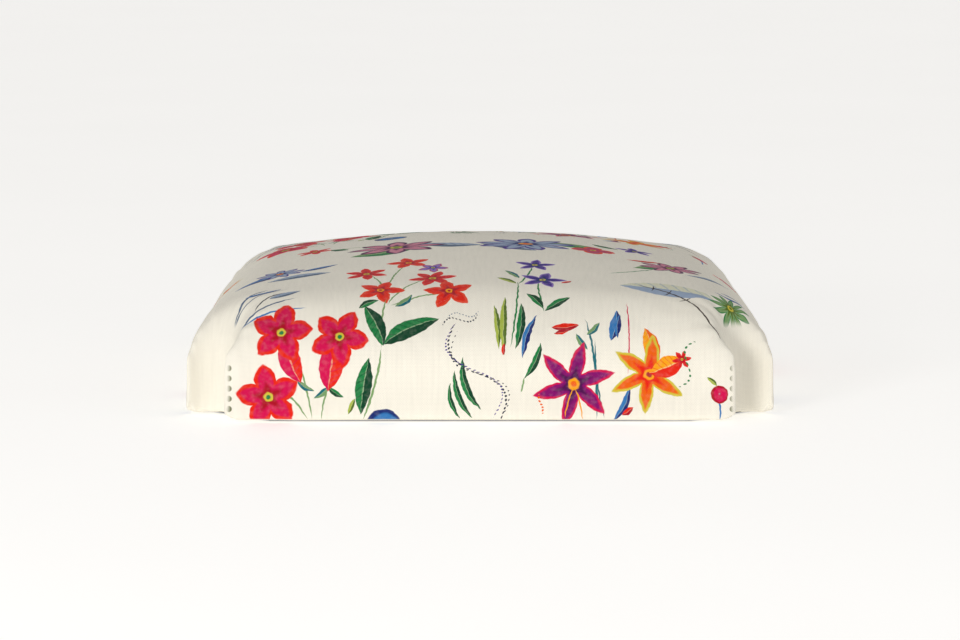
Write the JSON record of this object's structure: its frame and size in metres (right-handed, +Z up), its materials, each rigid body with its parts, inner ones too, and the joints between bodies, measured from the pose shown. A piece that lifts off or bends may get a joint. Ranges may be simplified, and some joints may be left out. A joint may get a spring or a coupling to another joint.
{
  "type": "chair seat pad",
  "caption": "Crowned upholstered seat pad on a wood frame, notched at its corners for the chair's legs and posts.",
  "frame": {"origin": "under the middle of the pad, at the height of its lowest face", "axes": "+Z up, +Y towards the back of the chair, +X to the right of someone facing the chair's front"},
  "size_m": [0.419, 0.432, 0.105],
  "materials": {
    "cover": "close plain weave with a printed botanical pattern",
    "foam": "open-cell upholstery foam",
    "wadding": "loose polyester fibre",
    "wood": "sawn beech, unfinished",
    "webbing": "woven jute webbing",
    "hessian": "coarse hessian",
    "dust_cover": "black cambric, matt",
    "steel": "zinc plated"
  },
  "bodies": {
    "root": {"corner_block_front_left": "wood", "corner_block_front_right": "wood", "corner_block_rear_left": "wood", "corner_block_rear_right": "wood", "cover": "cover", "dowel_front_left_end": "wood", "dowel_front_left_side": "wood", "dowel_front_right_end": "wood", "dowel_front_right_side": "wood", "dowel_rear_left_end": "wood", "dowel_rear_left_side": "wood", "dowel_rear_right_end": "wood", "dowel_rear_right_side": "wood", "dust_cover": "dust_cover", "foam_cushion": "foam", "front_rail": "wood", "hessian": "hessian", "left_side_rail": "wood", "rear_rail": "wood", "right_side_rail": "wood", "screw_front_left_end_high": "steel", "screw_front_left_end_low": "steel", "screw_front_left_side_high": "steel", "screw_front_left_side_low": "steel", "screw_front_right_end_high": "steel", "screw_front_right_end_low": "steel", "screw_front_right_side_high": "steel", "screw_front_right_side_low": "steel", "screw_rear_left_end_high": "steel", "screw_rear_left_end_low": "steel", "screw_rear_left_side_high": "steel", "screw_rear_left_side_low": "steel", "screw_rear_right_end_high": "steel", "screw_rear_right_end_low": "steel", "screw_rear_right_side_high": "steel", "screw_rear_right_side_low": "steel", "staple_web_crosswise_1_left": "steel", "staple_web_crosswise_1_right": "steel", "staple_web_crosswise_2_left": "steel", "staple_web_crosswise_2_right": "steel", "staple_web_crosswise_3_left": "steel", "staple_web_crosswise_3_right": "steel", "staple_web_lengthwise_1_front": "steel", "staple_web_lengthwise_1_rear": "steel", "staple_web_lengthwise_2_front": "steel", "staple_web_lengthwise_2_rear": "steel", "staple_web_lengthwise_3_front": "steel", "staple_web_lengthwise_3_rear": "steel", "wadding": "wadding", "web_crosswise_1": "webbing", "web_crosswise_2": "webbing", "web_crosswise_3": "webbing", "web_lengthwise_1": "webbing", "web_lengthwise_2": "webbing", "web_lengthwise_3": "webbing"}
  },
  "joints": []
}
